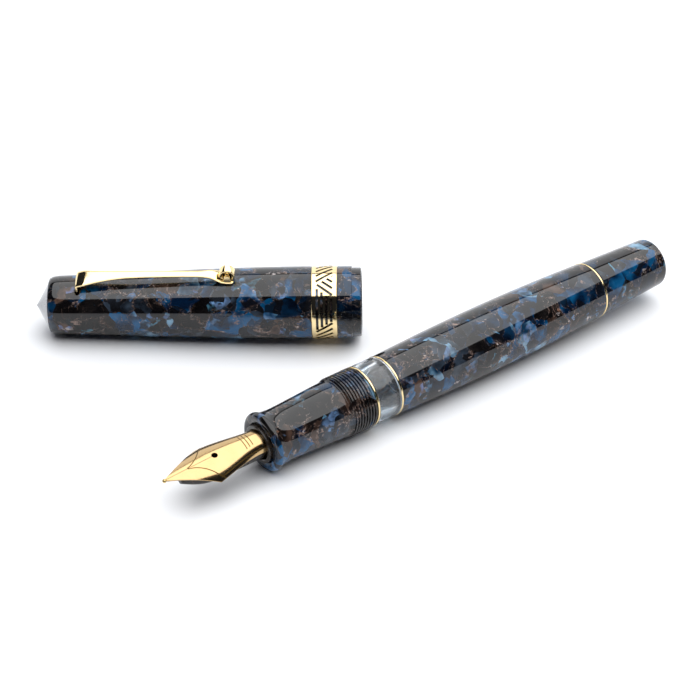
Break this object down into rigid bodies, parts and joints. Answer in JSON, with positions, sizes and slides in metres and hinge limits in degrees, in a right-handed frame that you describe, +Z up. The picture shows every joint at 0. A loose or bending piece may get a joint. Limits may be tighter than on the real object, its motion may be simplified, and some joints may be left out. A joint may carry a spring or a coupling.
{
  "type": "fountain pen",
  "caption": "Piston-filling fountain pen with a marbled resin body, gold-coloured nib and trim and an ink window, its roller-clip screw cap lying beside it.",
  "frame": {"origin": "on the table under the middle of the outline that the pen and the cap make together", "axes": "+Z up from the table; +X along the cap from its crown to its mouth, which is the longest side of the outline; the pen's tail points about 38 degrees from +X towards +Y"},
  "size_m": [0.1332, 0.0828, 0.018],
  "materials": {
    "marbled_resin": "polished translucent resin, near-black with blue, ice-blue and copper flakes",
    "crown_resin": "polished grey resin",
    "gold_plate": "polished gold-plated trim",
    "nib_gold": "polished gold nib with fine border lines",
    "tipping_metal": "hard bright tipping pellet",
    "ebonite": "satin black ebonite",
    "clear_acrylic": "clear polished acrylic",
    "seal_rubber": "soft black rubber",
    "mechanism_brass": "turned brass",
    "spindle_steel": "turned stainless steel",
    "piston_plastic": "moulded ivory-white plastic"
  },
  "bodies": {
    "pen": {"grip_section": "marbled_resin", "front_trim_ring": "gold_plate", "ink_window": "clear_acrylic", "middle_trim_ring": "gold_plate", "barrel": "marbled_resin", "tail_trim_ring": "gold_plate", "nib": "nib_gold", "nib_tipping": "tipping_metal", "feed": "ebonite", "nib_housing": "ebonite", "housing_seal": "seal_rubber", "mechanism_housing": "mechanism_brass", "retaining_ring": "mechanism_brass"},
    "piston": {"piston_rod": "piston_plastic", "piston_head": "piston_plastic", "piston_seals": "seal_rubber"},
    "knob": {"filler_knob": "marbled_resin", "knob_core": "mechanism_brass", "spindle": "spindle_steel"},
    "cap": {"cap_tube": "marbled_resin", "cap_band": "gold_plate", "cap_mouth_ring": "marbled_resin", "inner_cap": "ebonite", "cap_crown": "crown_resin", "crown_screw": "mechanism_brass", "clip_anchor": "mechanism_brass"},
    "clip": {"clip": "gold_plate", "roller_axle": "gold_plate"},
    "roller": {"clip_roller": "gold_plate"}
  },
  "joints": [
    {"name": "knob_turn", "type": "hinge", "parent": "pen", "child": "knob", "pos_m": [0.05236, 0.0286, 0.00747], "axis": [0.7828, 0.6221, 0.0166], "range_deg": [0, 1200]},
    {"name": "piston_slide", "type": "slide", "parent": "pen", "child": "piston", "axis": [-0.7828, -0.6221, -0.0166], "range_m": [0, 0.025]},
    {"name": "cap_swing", "type": "hinge", "parent": "pen", "child": "cap", "pos_m": [0.0798, -0.0952, 0], "axis": [0, 0, 1], "range_deg": [0, 38.48]},
    {"name": "clip_flex", "type": "hinge", "parent": "cap", "child": "clip", "pos_m": [-0.05733, 0.01756, 0.01116], "axis": [0.0086, -0.969, -0.2468], "range_deg": [0, 4], "stiffness_Nm_per_rad": 0.6},
    {"name": "roller_spin", "type": "hinge", "parent": "clip", "child": "roller", "pos_m": [-0.02644, 0.01655, 0.01619], "axis": [0.0086, -0.969, -0.2468], "continuous": true}
  ],
  "couplings": [
    {"joint": "knob_turn", "follows": "piston_slide", "rad_per_m": 837.68}
  ]
}
